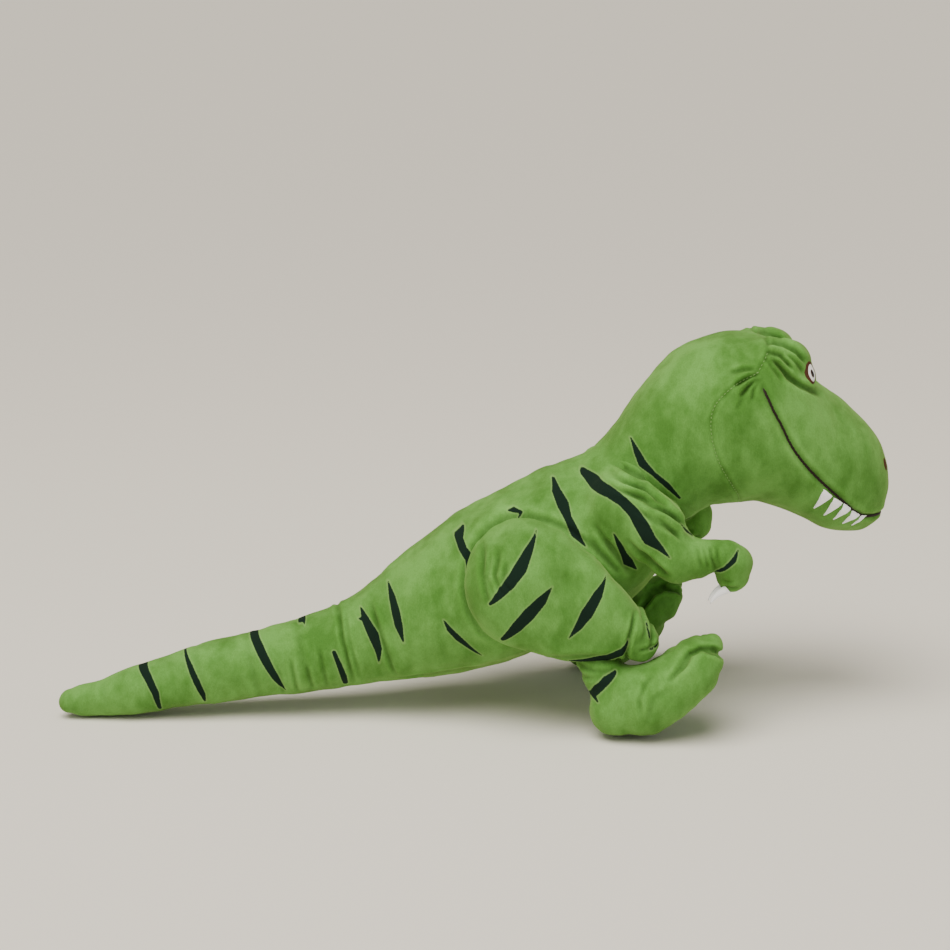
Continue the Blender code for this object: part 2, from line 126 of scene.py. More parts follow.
# Wide even light from high over the toy's right hip, with very soft shadows.
sky = bpy.data.lights.new("skylight", "SUN")
sky.energy = 3.1
sky.angle = math.radians(48)
sky.color = srgb("#fffaf2")[:3]
skylight = bpy.data.objects.new("skylight", sky)
bpy.context.scene.collection.objects.link(skylight)
skylight.rotation_euler = Vector((-0.45, -0.55, 1.5)).to_track_quat("Z", "Y").to_euler()

world = bpy.data.worlds.new("studio")
world.use_nodes = True
background = world.node_tree.nodes["Background"]
background.inputs["Color"].default_value = srgb("#f6f0e0")
# Seen directly, the backdrop is as pale as the board; as a light it is dimmer.
seen = node(world.node_tree, "ShaderNodeLightPath").outputs["Is Camera Ray"]
strength = node(world.node_tree, "ShaderNodeMapRange", [("Value", seen), ("To Min", 0.28),
                                                        ("To Max", 0.95)])
world.node_tree.links.new(strength.outputs["Result"], background.inputs["Strength"])
bpy.context.scene.world = world

# --- Body and tail cover ---------------------------------------------------------------
# The green velour cover of the body and tail, stuffed until it is round. It is one skin with
# the upper arms. It is cut into lengths across the tail and at the shoulder.
MM = 0.001          # tables and shapes are in millimetres, meshes in metres
STEP = 2.0          # spacing of a cover's mesh, mm

# Back line, tail tip to neck: x, z of the middle, half height across the line, half width (mm).
SPINE = [
    (-442, 18, 12.5, 12.5), (-430, 18.6, 17, 17), (-405, 21.4, 21, 21), (-375, 27.5, 26, 26),
    (-340, 34.5, 28.5, 28.5), (-295, 45, 33, 33), (-250, 52.5, 36, 36), (-205, 60, 39.5, 39.5),
    (-165, 67.5, 43, 43), (-129, 77, 48, 48), (-85, 92, 60, 62),
    (-38, 113, 74, 76), (10, 135, 85, 88), (58, 160, 87, 91), (100, 181, 87, 91),
    (130, 200, 85, 86), (152, 220, 76, 80), (173, 243, 64, 70), (192, 266, 60, 64),
]
# The neck's middle (mm), and the way it points: forward and up.
NECK = np.array((186.0, 0.0, 258.0))
NECK_LEAN = math.radians(50)
NECK_WAY = np.array((math.cos(NECK_LEAN), 0.0, math.sin(NECK_LEAN)))
COLLAR = 4          # how far past the neck's middle the body's cover ends, mm


def smooth_rows(rows, per):
    """Rows of a table read at closer spacing, on a Catmull-Rom curve through them."""
    rows = np.array(rows, float)
    ends = np.vstack([2 * rows[0] - rows[1], rows, 2 * rows[-1] - rows[-2]])
    out = []
    for i in range(1, len(ends) - 2):
        a, b, c, d = ends[i - 1:i + 3]
        for t in np.arange(per) / per:
            out.append((2 * b + (c - a) * t + (2 * a - 5 * b + 4 * c - d) * t ** 2
                        + (3 * b - a - 3 * c + d) * t ** 3) / 2)
    return np.array(out + [rows[-1]])


def read_rows(rows, place):
    """Values of a table at fractional places."""
    whole = np.clip(place.astype(int), 0, len(rows) - 2)
    part = (place - whole)[..., None]
    return rows[whole] * (1 - part) + rows[whole + 1] * part


def nearest_on(x, z, line):
    """Fractional place on a side-view line nearest to each point, and the distance to it."""
    x, z = np.broadcast_arrays(x, z)
    best = np.full(np.shape(x), 1e12)
    place = np.zeros(np.shape(x))
    for i in range(len(line) - 1):
        ax, az = line[i][0], line[i][1]
        dx, dz = line[i + 1][0] - ax, line[i + 1][1] - az
        t = np.clip(((x - ax) * dx + (z - az) * dz) / (dx * dx + dz * dz), 0, 1)
        gap = (x - ax - t * dx) ** 2 + (z - az - t * dz) ** 2
        nearer = gap < best
        best = np.where(nearer, gap, best)
        place = np.where(nearer, i + t, place)
    return place, np.sqrt(best)


def join(a, b, soft):
    """Distance to two shapes that run into each other over a soft width."""
    h = np.clip(0.5 + 0.5 * (b - a) / soft, 0, 1)
    return b + (a - b) * h - soft * h * (1 - h)


def trim(a, b, soft):
    """Distance to what two shapes share, with the edge rounded over a soft width."""
    return -join(-a, -b, soft)


def chain(x, y, z, knots, soft=0.0):
    """Distance to a run of balls (x, y, z, radius), each joined to the next by a taper."""
    found = None
    for a, b in zip(knots, knots[1:]):
        a, b = np.array(a, float), np.array(b, float)
        way = b[:3] - a[:3]
        t = (x - a[0]) * way[0] + (y - a[1]) * way[1] + (z - a[2]) * way[2]
        t = np.clip(t / (way @ way), 0, 1)
        gap = np.sqrt((x - a[0] - t * way[0]) ** 2 + (y - a[1] - t * way[1]) ** 2
                      + (z - a[2] - t * way[2]) ** 2) - (a[3] + t * (b[3] - a[3]))
        found = gap if found is None else join(found, gap, soft) if soft else np.minimum(found, gap)
    return found


spine = smooth_rows(SPINE, 6)


def body_shape(x, y, z):
    """Distance to the body and tail. x and z may be a flat grid that y crosses."""
    place, off = nearest_on(x, z, spine)
    size = read_rows(spine, place)
    high, wide = size[..., 2], size[..., 3]
    round_part = (np.sqrt((off / high) ** 2 + (y / wide) ** 2) - 1) * np.minimum(high, wide)
    front = (x - NECK[0]) * NECK_WAY[0] + (z - NECK[2]) * NECK_WAY[2] - COLLAR
    return trim(round_part, front, soft=7)


# Left arm, mirrored on the right: balls along it, x, y, z and radius (mm).
ARM = [(152, 68, 240, 37), (180, 84, 220, 33), (204, 99, 193, 27), (226, 106, 193, 20)]
FOREARM = [(226, 106, 193, 20), (243, 109, 197, 15.5), (254, 110, 195, 16.5)]
HAND = [(254, 110, 195, 17), (262, 110, 187, 19), (263, 109, 173, 17)]


def trunk_shape(x, y, z):
    """Distance to the body, tail and arms together."""
    side = np.abs(y)
    arm = chain(x, side, z, ARM + FOREARM[1:], soft=6)
    arm = join(arm, chain(x, side, z, HAND, soft=4), soft=3)
    return join(body_shape(x, y, z), arm, soft=15)


def cover(shape, low, high, step=STEP):
    """Points (mm) and quads of the surface where a distance is zero, between two corners."""
    axes = [np.arange(a, b + step, step) for a, b in zip(low, high)]
    x, y, z = np.meshgrid(*axes, indexing="ij", sparse=True)
    values = np.broadcast_to(shape(x, y, z), [len(a) for a in axes])
    field = openvdb.FloatGrid(3 * step)
    field.copyFromArray(np.clip(values, -3 * step, 3 * step).astype(np.float32))
    points, quads = field.convertToQuads(isovalue=0)
    points = np.array(low, float) + points.astype(float) * step
    edges = np.vstack([quads[:, [i, (i + 1) % 4]] for i in range(4)])
    edges = np.unique(np.sort(edges, axis=1), axis=0)
    return relax(points, edges, rounds=4), quads


def relax(points, edges, rounds, pull=0.5):
    """Evens out a mesh: each round pulls points to their neighbours, then pushes them back out."""
    ends, others = np.hstack([edges.T, edges.T[::-1]])
    count = np.bincount(ends)
    push = -pull - 0.02
    for amount in (pull, push) * rounds:
        drawn = [np.bincount(ends, points[others, i]) / count for i in range(3)]
        points = points + amount * (np.stack(drawn, axis=1) - points)
    return points


def normals_of(points, quads):
    """Unit normals of a mesh's points."""
    a, b, c, d = (points[quads[:, i]] for i in range(4))
    across = np.repeat(np.cross(c - a, d - b), 4, axis=0)
    total = np.stack([np.bincount(quads.ravel(), across[:, i]) for i in range(3)], axis=1)
    return total / np.maximum(np.linalg.norm(total, axis=1, keepdims=True), 1e-9)


def lumps(points, wavelength, seed):
    """Soft unevenness of about -1 to 1, with hollows about a wavelength (mm) apart."""
    draw = np.random.default_rng(seed)
    total = 0
    for _ in range(9):
        way = draw.normal(size=3)
        turns = 2 * math.pi * draw.uniform(0.7, 1.4) / wavelength
        total = total + np.sin(points @ (way / np.linalg.norm(way)) * turns + draw.uniform(0, 6.3))
    return total / 4.2


def stroke(points, path):
    """Distance from a side-view stroke (x, z, half width) to each point, and how far along it is."""
    path = np.array(path, float)
    place, off = nearest_on(points[:, 0], points[:, 2], path)
    return off - read_rows(path, place)[:, 2], place / (len(path) - 1)


def crease(points, path, depth, wide):
    """Height of a sewn or folded crease: a groove that fades at its ends, with a lip each side."""
    off, along = stroke(points, [(x, z, 0) for x, z in path])
    fade = np.clip(np.minimum(along, 1 - along) * 5, 0, 1) ** 0.7
    groove = np.exp(-(off / wide) ** 2)
    lip = 0.45 * np.exp(-((off - 1.9 * wide) / wide) ** 2)
    return depth * fade * (-groove + lip) * (off < 6 * wide)


def folds_on(points, creases):
    """Height (mm) of all the creases of a cover."""
    return sum(crease(points, path, depth, wide) for path, depth, wide in creases)


def stripes_on(points, strokes):
    """Distance (mm) to the nearest stripe, negative inside it and never more than 20."""
    nearest = np.full(len(points), 20.0)
    for path in strokes:
        nearest = np.minimum(nearest, stroke(points, path)[0])
    return nearest


def sewn(name, points, quads, normals, keep, material, **marks):
    """An object from the quads that keep picks, shaded with the whole cover's normals.

    Each mark is an attribute that the cloth's material reads, in mm: stripe, the distance to a
    dyed stripe, and fold, how far a crease presses the cloth in (negative) or raises it. From
    fold the material paints shade in the groove and a highlight on the lip.
    """
    picked = quads[keep]
    used, flat = np.unique(picked.ravel(), return_inverse=True)
    mesh = bpy.data.meshes.new(name)
    mesh.from_pydata((points[used] * MM).tolist(), [], flat.reshape(-1, 4).tolist())
    mesh.shade_smooth()
    mesh.normals_split_custom_set_from_vertices(normals[used].tolist())
    for label, values in marks.items():
        layer = mesh.attributes.new(label, "FLOAT", "POINT")
        layer.data.foreach_set("value", values[used].astype(np.float32))
    mesh.materials.append(material)
    made = bpy.data.objects.new(name, mesh)
    bpy.context.scene.collection.objects.link(made)
    return made


# Short-pile velour: matt, with patches that catch the light where the pile has been brushed
# the other way, a yellowish sheen at grazing edges, and stripes dyed into the pile.
def velour(name, brushed, deep, stripe):
    made, tree, shader = principled(name, brushed, 0.95, Sheen_Roughness=0.5,
                                    Sheen_Tint=srgb("#c6d98a"), Specular_IOR_Level=0.1)
    object_place = node(tree, "ShaderNodeTexCoord").outputs["Object"]
    longer_up = node(tree, "ShaderNodeMapping", [("Vector", object_place), ("Scale", (1.25, 1.0, 0.75))])
    place = longer_up.outputs["Vector"]
    # Brushed patches about 50 mm across, with smaller ones of about 12 mm in them.
    wide = node(tree, "ShaderNodeTexNoise", [("Vector", place), ("Scale", 19.0), ("Detail", 2.0),
                                             ("Roughness", 0.5), ("Distortion", 0.3)])
    small = node(tree, "ShaderNodeTexNoise", [("Vector", place), ("Scale", 80.0), ("Detail", 3.0),
                                              ("Roughness", 0.6)])
    both = node(tree, "ShaderNodeMix", [("Factor", 0.32), (2, wide.outputs["Fac"]),
                                        (3, small.outputs["Fac"])])
    spread = node(tree, "ShaderNodeMapRange", [("Value", both.outputs[0]), ("From Min", 0.38),
                                               ("From Max", 0.62)])
    ground = node(tree, "ShaderNodeMix", [("Factor", spread.outputs["Result"]), (6, srgb(deep)),
                                          (7, srgb(brushed))], data_type="RGBA")
    # Pile tips: the real ones are 0.3 mm apart, drawn at 1.6 mm so that they show.
    pile = node(tree, "ShaderNodeTexNoise", [("Vector", place), ("Scale", 620.0), ("Detail", 3.0),
                                             ("Roughness", 0.7)])
    tips = node(tree, "ShaderNodeMapRange", [("Value", pile.outputs["Fac"]), ("From Min", 0.25),
                                             ("From Max", 0.75), ("To Min", 0.84), ("To Max", 1.14)])
    # Painted shade and highlight: the cloth's colour is darkened in a fold's groove and made paler on the
    # fold's lip.
    fold = node(tree, "ShaderNodeAttribute", attribute_name="fold")
    painted_fold_shade = node(tree, "ShaderNodeMapRange", [("Value", fold.outputs["Fac"]), ("From Min", -2.4),
                                                ("From Max", 1.2), ("To Min", 0.62), ("To Max", 1.19)])
    shade = node(tree, "ShaderNodeMath", [(0, tips.outputs["Result"]), (1, painted_fold_shade.outputs["Result"])],
                 operation="MULTIPLY")
    coat = node(tree, "ShaderNodeMix", [("Factor", 1.0), (6, ground.outputs[2]), (7, shade.outputs[0])],
                data_type="RGBA", blend_type="MULTIPLY")
    # The stripe's edge wanders by a fraction of a millimetre, as dye does in pile, and the
    # cloth beside it is a little paler.
    edge = node(tree, "ShaderNodeAttribute", attribute_name="stripe")
    wander = node(tree, "ShaderNodeMath", [(0, pile.outputs["Fac"]), (1, 1.4)], operation="MULTIPLY")
    shifted = node(tree, "ShaderNodeMath", [(0, edge.outputs["Fac"]), (1, wander.outputs[0])],
                   operation="ADD")
    halo = node(tree, "ShaderNodeMapRange", [("Value", shifted.outputs[0]), ("From Min", 0.8),
                                             ("From Max", 2.6), ("To Min", 0.4), ("To Max", 0.0)])
    paler = node(tree, "ShaderNodeMix", [("Factor", halo.outputs["Result"]), (6, coat.outputs[2]),
                                         (7, srgb("#8fb16c"))], data_type="RGBA")
    dyed = node(tree, "ShaderNodeMapRange", [("Value", shifted.outputs[0]), ("From Min", 0.3),
                                             ("From Max", 0.9), ("To Min", 1.0), ("To Max", 0.0)])
    colour = node(tree, "ShaderNodeMix", [("Factor", dyed.outputs["Result"]), (6, paler.outputs[2]),
                                          (7, srgb(stripe))], data_type="RGBA")
    tree.links.new(colour.outputs[2], shader.inputs["Base Color"])
    # Dyed pile has almost none of the sheen.
    sheen = node(tree, "ShaderNodeMapRange", [("Value", dyed.outputs["Result"]), ("To Min", 0.3),
                                              ("To Max", 0.03)])
    tree.links.new(sheen.outputs["Result"], shader.inputs["Sheen Weight"])
    # The pile leans in tufts about 7 mm across; tufts and tips together roughen the surface.
    nap = node(tree, "ShaderNodeTexNoise", [("Vector", place), ("Scale", 150.0), ("Detail", 3.0)])
    height = node(tree, "ShaderNodeMath", [(0, nap.outputs["Fac"]), (1, pile.outputs["Fac"])],
                  operation="ADD")
    bump = node(tree, "ShaderNodeBump", [("Height", height.outputs[0]), ("Strength", 0.35),
                                         ("Distance", 0.0009)])
    tree.links.new(bump.outputs["Normal"], shader.inputs["Normal"])
    return made


green = velour("green_velour", "#659c49", "#48792f", "#13251c")

# Dyed stripes of the right side, mirrored on the left: x, z, half width along each (mm).
BODY_STRIPES = [
    [(-364, 60, 5), (-356, 48, 4.4), (-349, 34, 4), (-345, 14, 2)],
    [(-317, 74, 1.5), (-311, 62, 3.2), (-304, 46, 3.6), (-298, 31, 3), (-296, 21, 1)],
    [(-243, 92, 4.5), (-236, 81, 5), (-228, 66, 4.8), (-219, 50, 3.8), (-209, 34, 0.6)],
    [(-193, 104, 1), (-188, 107, 3), (-187, 103, 0.6)],
    [(-156, 79, 2.4), (-151, 66, 3), (-146, 51, 3.6), (-144, 41, 3)],
    [(-126, 124, 1), (-122, 115, 4.4), (-114, 100, 6), (-109, 85, 4.2), (-108, 68, 0.6)],
    [(-129, 114, 0.6), (-123, 115, 3)],
    [(-96, 151, 1), (-93, 140, 3.6), (-90, 127, 4.6), (-87, 112, 4.4), (-82, 94, 0.8)],
    [(-15, 213, 1), (-21, 204, 4.5), (-18, 195, 4.5), (-12, 187, 5), (-13, 180, 2.6), (-15, 173, 0.8)],
    [(32, 233, 1), (38, 234, 2.8), (45, 233, 1.5), (42, 227, 1)],
    [(-40, 122, 0.8), (-34, 112, 3), (-24, 101, 3.4), (-11, 89, 2), (2, 78, 0.6)],
    [(82, 263, 2), (83, 254, 5), (88, 243, 6.5), (92, 231, 4.2), (99, 216, 5), (104, 209, 2.6),
     (110, 202, 0.6)],
    [(114, 271, 4), (121, 266, 6.5), (133, 262, 6), (146, 254, 5.5), (157, 243, 6), (165, 230, 7.4),
     (172, 217, 7), (183, 208, 3.6), (193, 198, 0.6)],
    [(138, 218, 0.8), (145, 204, 3), (151, 192, 3.4), (156, 183, 5.5), (167, 172, 0.6)],
    [(244, 180, 1.5), (252, 187, 2.4), (260, 195, 2.8), (265, 204, 1)],
    [(208, 228, 0.5), (214, 221, 1.2), (221, 215, 0.5)],
]

# Folds and seams of the right side, mirrored on the left: path, depth and half width (mm).
HAUNCH_SEAM = [(22, 94), (0, 108), (-14, 132), (-19, 157), (-16, 179), (-5, 199), (11, 216),
               (30, 227), (51, 230), (74, 227), (95, 218), (117, 201), (136, 182), (154, 163)]
BODY_CREASES = [
    # Two seams round the tail's root, and the folds beside them.
    ([(-151, 124), (-147, 95), (-134, 40)], 2.8, 2.4), ([(-116, 132), (-107, 98), (-89, 50)], 3.0, 2.4),
    ([(-144, 118), (-140, 92), (-128, 46)], 1.6, 2.2), ([(-109, 120), (-101, 92), (-88, 62)], 1.4, 2.2),
    # Hollows and gathers along the tail.
    ([(-250, 92), (-244, 60), (-236, 20)], 0.9, 3.6), ([(-306, 80), (-300, 51), (-292, 12)], 0.8, 3.6),
    ([(-196, 104), (-190, 70), (-182, 26)], 1.0, 3.6), ([(-406, 42), (-402, 20)], 0.8, 3.6),
    ([(-216, 62), (-211, 26)], 1.5, 2.2), ([(-203, 72), (-196, 28)], 1.9, 2.2),
    ([(-186, 66), (-179, 31)], 2.0, 2.2), ([(-172, 84), (-163, 33)], 1.7, 2.2),
    # The belly's side seam and the seam round the haunch.
    ([(-89, 47), (-41, 51), (10, 58)], 1.6, 2.4), (HAUNCH_SEAM, 2.4, 3.2),
    # The collar, pushed together under the head.
    ([(141, 284), (177, 271), (209, 244)], 4.4, 2.6), ([(139, 276), (172, 264), (204, 240)], 4.2, 2.3),
    ([(147, 266), (181, 252), (208, 231)], 4.0, 2.4), ([(168, 253), (192, 242), (213, 226)], 4.0, 2.4),
    ([(190, 248), (202, 237), (215, 222)], 3.2, 2.2), ([(160, 246), (182, 233), (206, 218)], 2.6, 2.6),
    ([(128, 268), (150, 263), (176, 250)], 2.2, 2.6), ([(176, 243), (192, 230), (208, 214)], 2.4, 2.2),
    # Armpit and shoulder.
    ([(163, 202), (178, 189), (192, 176)], 3.4, 3.2), ([(129, 211), (143, 190), (163, 167)], 2.8, 4.0),
    ([(112, 214), (128, 194), (148, 170)], 2.4, 3.4), ([(150, 214), (166, 196), (180, 180)], 2.0, 2.8),
    ([(118, 226), (130, 208), (146, 190)], 1.6, 2.8),
    # Wrist and palm.
    ([(235, 209), (237, 197), (245, 177)], 2.8, 2.2), ([(229, 208), (231, 198), (235, 184)], 1.8, 2.0),
    ([(242, 208), (243, 196), (248, 180)], 2.0, 2.0), ([(223, 208), (224, 198), (227, 184)], 1.4, 2.0),
    ([(251, 165), (259, 162), (267, 164)], 2.0, 2.4), ([(250, 171), (259, 170)], 1.4, 2.2),
]

points, quads = cover(trunk_shape, low=(-462, -138, -6), high=(296, 138, 312))
folds = folds_on(points, BODY_CREASES)
relief = folds + 1.3 * lumps(points, 62, seed=3) + 0.5 * lumps(points, 24, seed=4)

# Fine gathers ring the tail about every 33 mm, most of all near its middle.
ring_turns = points[:, 0] / 5.2 + 1.5 * lumps(points, 70, seed=5)
tail_rings = np.exp(-((points[:, 0] + 190) / 190) ** 2) * np.sin(ring_turns)
relief = relief + 0.28 * tail_rings * (points[:, 0] < -40)
points = points + normals_of(points, quads) * relief[:, None]
points[:, 2] = np.maximum(points[:, 2], 0.3)        # it rests on the floor
normals = normals_of(points, quads)
marks = {"stripe": stripes_on(points, BODY_STRIPES), "fold": folds}

# Cuts across the tail and at the shoulder (mm); the last is measured out along the upper arm.
TAIL_TIP_CUT = -312
TAIL_MID_CUT = -190
TAIL_BASE_CUT = -60
SHOULDER_CUT = 150
middle = points[quads].mean(axis=1)
arm_way = np.array((0.507, 0.862, 0.0))
reach = middle[:, 0] * arm_way[0] + np.abs(middle[:, 1]) * arm_way[1]
clear_of_back = (middle[:, 0] > 120) & (middle[:, 2] < 292)
on_arm = (reach > SHOULDER_CUT) & clear_of_back

# Each length of tail: where it lies, its two bodies and where the joint between them is (mm).
tail = middle[:, 0]
lengths = {
    "tail_tip": (tail < TAIL_TIP_CUT, "tail_mid", "tail_tip", -375),
    "tail_mid": ((tail >= TAIL_TIP_CUT) & (tail < TAIL_MID_CUT), "tail_base", "tail_mid", -250),
    "tail_base": ((tail >= TAIL_MID_CUT) & (tail < TAIL_BASE_CUT), "torso", "tail_base", -129),
}
for label, (keep, near, far, joint) in lengths.items():
    piece = sewn(f"{label}_cover", points, quads, normals, keep & ~on_arm, green, **marks)
    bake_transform(piece)
    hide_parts(f"{label}_skin", f"{label}_filling")

# The belly panel is a paler velour: the middle of the underside, from the tail to the chest.
pale = velour("belly_velour", "#74a453", "#5a883c", "#13251c")
PANEL_SHARE = 0.62  # how much of the body's width the panel takes
PANEL_FRONT = 232   # where it ends under the neck, mm
place, _ = nearest_on(middle[:, 0], middle[:, 2], spine)
girth = read_rows(spine, place)
under = (middle[:, 2] < girth[:, 1]) & (np.abs(middle[:, 1]) < PANEL_SHARE * girth[:, 3])
under = under & (middle[:, 0] < PANEL_FRONT)
on_body = ~on_arm & (middle[:, 0] > TAIL_BASE_CUT)
torso = sewn("body_cover", points, quads, normals, on_body & ~under, green, **marks)
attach(torso, "torso")
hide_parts("side_panel_right", "side_panel_left", "torso_filling")
belly = sewn("belly_cover", points, quads, normals, on_body & under, pale, **marks)
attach(belly, "torso")
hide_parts("belly_panel")

# --- Arms and hands --------------------------------------------------------------------
# The arms grow out of the shoulders in the same cover and end in mitten hands. Each is cut
# at the forearm into a sleeve and a hand.
HAND_CUT = 232      # where the sleeve ends and the hand starts, mm
at_hand = middle[:, 0] > HAND_CUT
for side, sign in (("right", -1), ("left", 1)):
    own = on_arm & (middle[:, 1] * sign > 0)
    sleeve = sewn(f"sleeve_{side}", points, quads, normals, own & ~at_hand, green, **marks)
    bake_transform(sleeve)
    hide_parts(f"arm_skin_{side}", f"arm_filling_{side}")
    hand = sewn(f"hand_cover_{side}", points, quads, normals, own & at_hand, green, **marks)
    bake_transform(hand)
    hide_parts(f"hand_skin_{side}", f"hand_filling_{side}")

# --- Head and neck cover ---------------------------------------------------------------
# The head is sewn from two rear panels, a muzzle and a jaw, with stuffed brows. Its neck is a
# stuffed ball that sits in the body's collar.

# Nape to nose: top x, z, bottom x, z and half width (mm).
HEAD = [
    (128, 286, 234, 226, 61), (146, 305, 240, 226, 66), (172, 342, 248, 227, 71),
    (199, 376, 256, 228, 76), (222, 396, 264, 228, 80), (250, 409, 272, 229, 84),
    (278, 415, 286, 229, 86), (304, 413, 304, 229, 86), (326, 403, 322, 225, 84),
    (346, 386, 341, 218, 81), (364, 367, 360, 209, 77), (384, 350, 380, 198, 71),
    (404, 336, 400, 193, 65), (424, 318, 420, 193, 57), (440, 297, 434, 198, 47),
    (450, 273, 444, 207, 33), (454, 243, 453, 230, 9),
]
fans = smooth_rows(HEAD, 5)
ROUNDNESS = 2.15    # 2 would make each section of the head an oval; more is squarer
HEAD_STEP = 1.7     # spacing of the head cover's mesh, mm

# Left brow, mirrored on the right, and throat: balls along each, x, y, z and radius (mm).
BROW = [(312, 37, 385, 29), (331, 39, 386, 25), (342, 42, 371, 20)]
THROAT = [(190, 0, 256, 58), (212, 0, 252, 47)]


def fan_place(x, z):
    """Fractional place among the head's sections, and how far a point is past the first and last."""
    top, low = fans[:, 0:2], fans[:, 2:4]
    way = top - low
    square = np.stack([way[:, 1], -way[:, 0]], axis=1) / np.linalg.norm(way, axis=1, keepdims=True)
    x, z = np.broadcast_arrays(x, z)
    place = np.full(np.shape(x), float(len(fans) - 1))
    ahead = [(x - low[i, 0]) * square[i, 0] + (z - low[i, 1]) * square[i, 1] for i in range(len(fans))]
    found = np.zeros(np.shape(x), bool)
    for i in range(len(fans) - 1):
        inside = ~found & (ahead[i] >= 0) & (ahead[i + 1] < 0)
        span = np.maximum(ahead[i] - ahead[i + 1], 1e-6)
        place = np.where(inside, i + ahead[i] / span, place)
        found |= inside
    place = np.where(~found & (ahead[0] < 0), 0.0, place)
    return place, -ahead[0], ahead[-1]


def head_shape(x, y, z):
    """Distance to the head with its brows and throat."""
    place, behind, beyond = fan_place(x, z)
    size = read_rows(fans, place)
    middle_x = (size[..., 0] + size[..., 2]) / 2
    middle_z = (size[..., 1] + size[..., 3]) / 2
    half_x = (size[..., 0] - size[..., 2]) / 2
    half_z = (size[..., 1] - size[..., 3]) / 2
    high = np.sqrt(half_x ** 2 + half_z ** 2)
    up = ((x - middle_x) * half_x + (z - middle_z) * half_z) / high
    wide = size[..., 4]
    skull = (np.abs(up) / high) ** ROUNDNESS + (np.abs(y) / wide) ** ROUNDNESS
    skull = (skull ** (1 / ROUNDNESS) - 1) * np.minimum(high, wide)
    skull = np.maximum(skull, np.maximum(behind, beyond))
    side = np.abs(y)
    brow = chain(x, side, z, BROW)
    throat = chain(x, y * 0.93, z, THROAT)
    return join(join(skull, brow, soft=9), throat, soft=12)


# Seams, mouth and folds of the right side, mirrored on the left: x, z (mm).
CHEEK_SEAM = [(292, 382), (266, 369), (248, 352), (242, 335), (244, 311), (253, 286), (268, 262),
              (280, 244), (286, 226)]
CROWN_SEAM = [(308, 420), (304, 400), (293, 382)]
MOUTH = [(292, 381), (297, 367), (308, 343), (317, 327), (329, 304), (347, 281), (367, 261), (388, 242),
         (405, 227), (418, 219), (432, 217)]
HEAD_CREASES = [
    (CROWN_SEAM, 1.4, 2.2), (CHEEK_SEAM, 0.9, 2.2), (MOUTH + [(446, 218), (456, 219)], 2.6, 3.2),
    # Brow folds.
    ([(304, 411), (322, 409), (336, 402), (346, 390)], 4.4, 2.5),
    ([(304, 404), (318, 398), (331, 384)], 4.4, 2.5),
    ([(302, 403), (316, 388), (328, 375), (342, 366), (372, 352)], 4.8, 3.0),
    ([(300, 398), (309, 386), (320, 373)], 3.0, 2.3), ([(322, 402), (335, 391), (344, 379)], 2.4, 2.1),
    # Puckers at the mouth corner.
    ([(295, 382), (282, 377), (266, 369)], 3.6, 2.0), ([(293, 378), (281, 369), (271, 358)], 3.8, 2.0),
    ([(294, 376), (287, 366), (284, 354)], 2.4, 2.0), ([(295, 384), (278, 385), (262, 381)], 2.2, 2.2),
    ([(288, 372), (274, 356), (268, 344)], 1.2, 2.4),
]
NECK_STRIPE = [[(163, 309, 0.8), (168, 296, 3.4), (173, 285, 4.6), (184, 275, 2.6), (198, 263, 3.2),
                (214, 246, 1.4)]]

points, quads = cover(head_shape, low=(104, -98, 184), high=(462, 98, 426), step=HEAD_STEP)
folds = folds_on(points, HEAD_CREASES)
folds = folds * np.clip(np.abs(points[:, 1]) / 14, 0, 1)      # none along the head's middle
relief = folds + 1.0 * lumps(points, 66, seed=7) + 0.35 * lumps(points, 22, seed=8)
points = points + normals_of(points, quads) * relief[:, None]
head = sewn("head_cover", points, quads, normals_of(points, quads), np.ones(len(quads), bool), green,
            stripe=stripes_on(points, NECK_STRIPE), fold=folds)
head_tree = BVHTree.FromPolygons((points * MM).tolist(), quads.tolist())
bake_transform(head)
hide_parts("neck_skin", "neck_filling", "head_panel_right", "head_panel_left", "muzzle_panel",
            "jaw_panel", "head_filling", "brow_right", "brow_left")

# --- Eyes and nostrils -----------------------------------------------------------------
# Satin-stitched eyes on the front of the brows, white with a dark slit and a brown rim, and
# two brown stitched nostrils. They are sewn through the cover, so they stand up only a little.


def new_piece(name, verts, faces, material):
    """A smooth-shaded object of one material, from corners in metres and faces."""
    mesh = bpy.data.meshes.new(name)
    mesh.from_pydata([tuple(v) for v in verts], [], faces)
    mesh.shade_smooth()
    mesh.materials.append(material)
    made = bpy.data.objects.new(name, mesh)
    bpy.context.scene.collection.objects.link(made)
    return made


def shallow_disc(name, place, facing, wide, tall, rise, material, lean=0.0):
    """A domed oval of thread laid on the head, by its half width, half height and rise (metres)."""
    columns, rings = 40, 8
    tuck = 0.0006           # how far the edge goes into the cloth
    facing = Vector(facing).normalized()
    level = Vector((0, 0, 1)).cross(facing).normalized()
    upright = facing.cross(level)
    across = level * math.cos(lean) + upright * math.sin(lean)
    up = upright * math.cos(lean) - level * math.sin(lean)
    verts = []
    for r in range(rings + 1):
        share = r / rings
        for c in range(columns if r else 1):
            a = 2 * math.pi * c / columns
            spot = Vector(place) + (across * math.cos(a) * wide + up * math.sin(a) * tall) * share
            hit, _, _, _ = head_tree.ray_cast(spot + facing * 0.03, -facing)
            base = hit if hit else spot
            verts.append(base + facing * (rise * (1 - share ** 2) ** 0.5 - tuck * (r == rings)))
    faces = [(0, 1 + c, 1 + (c + 1) % columns) for c in range(columns)]
    for r in range(rings - 1):
        row, after = 1 + r * columns, 1 + (r + 1) * columns
        for c in range(columns):
            k = (c + 1) % columns
            faces.append((row + c, after + c, after + k, row + k))
    return new_piece(name, verts, faces, material)


